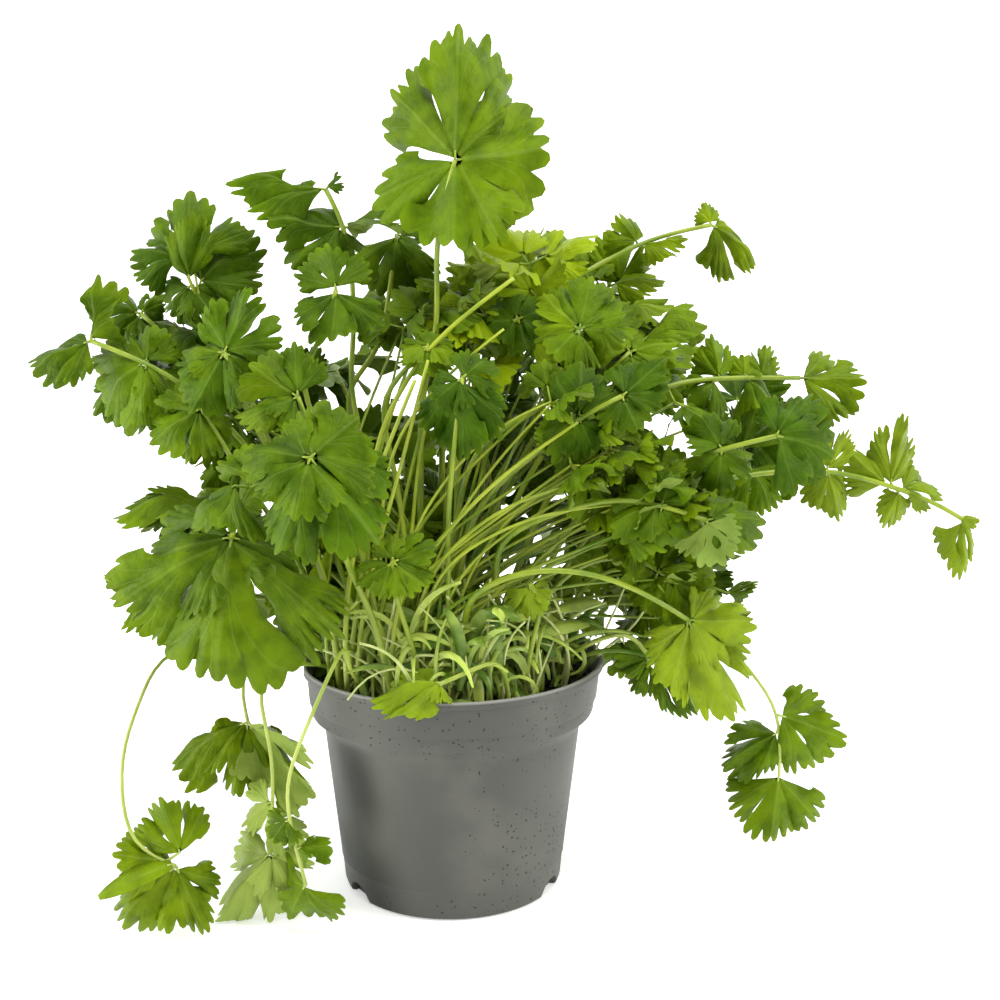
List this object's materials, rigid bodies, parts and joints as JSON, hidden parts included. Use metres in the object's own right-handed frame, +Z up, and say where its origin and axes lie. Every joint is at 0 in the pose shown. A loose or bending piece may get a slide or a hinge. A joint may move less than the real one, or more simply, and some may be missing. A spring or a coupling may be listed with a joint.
{
  "type": "potted coriander",
  "caption": "Potted coriander: a thin plastic nursery pot filled with soil, with leafy stems of lobed, toothed leaflets that spread and hang over its rim.",
  "frame": {"origin": "centre of the pot's underside, on the surface that it stands on", "axes": "+Z up; +X to the right and -Y towards the viewer of the front"},
  "size_m": [0.3607, 0.2223, 0.3297],
  "materials": {
    "plastic": "matt grey-taupe moulded polypropylene, speckled with soil",
    "soil": "dark moist peat, crumbly and rough",
    "foliage": "soft satin green leaf with pale ribs, on juicy green stems",
    "seedling": "pale green strap leaves on whitish stems"
  },
  "bodies": {
    "root": {"pot": "plastic", "seedling_01": "seedling", "seedling_02": "seedling", "seedling_03": "seedling", "seedling_04": "seedling", "soil": "soil", "stem_arching_right": "foliage", "stem_canopy_big": "foliage", "stem_canopy_blue": "foliage", "stem_canopy_crest": "foliage", "stem_canopy_dark": "foliage", "stem_canopy_fan": "foliage", "stem_canopy_low": "foliage", "stem_canopy_right_low": "foliage", "stem_canopy_round": "foliage", "stem_far_left": "foliage", "stem_far_left_small": "foliage", "stem_front_frill": "foliage", "stem_front_left": "foliage", "stem_front_mid": "foliage", "stem_hanging_right": "foliage", "stem_hero_side": "foliage", "stem_hero_top": "foliage", "stem_left_frill": "foliage", "stem_left_inner": "foliage", "stem_left_low": "foliage", "stem_left_top": "foliage", "stem_mouth_leaf": "foliage", "stem_right_dark": "foliage", "stem_right_far": "foliage", "stem_right_long": "foliage", "stem_rim_leaf": "foliage", "stem_top_right": "foliage", "stem_trailing_front": "foliage", "stem_trailing_inner": "foliage", "stem_trailing_middle": "foliage", "stem_trailing_outer": "foliage", "stem_trailing_right": "foliage", "stem_upper_left_low": "foliage", "stem_upper_left_mid": "foliage", "stem_upper_left_tall": "foliage", "stem_wild_01": "foliage", "stem_wild_02": "foliage", "stem_wild_03": "foliage", "stem_wild_04": "foliage", "stem_wild_05": "foliage", "stem_wild_06": "foliage", "stem_wild_07": "foliage", "stem_wild_08": "foliage", "stem_wild_09": "foliage"}
  },
  "joints": []
}
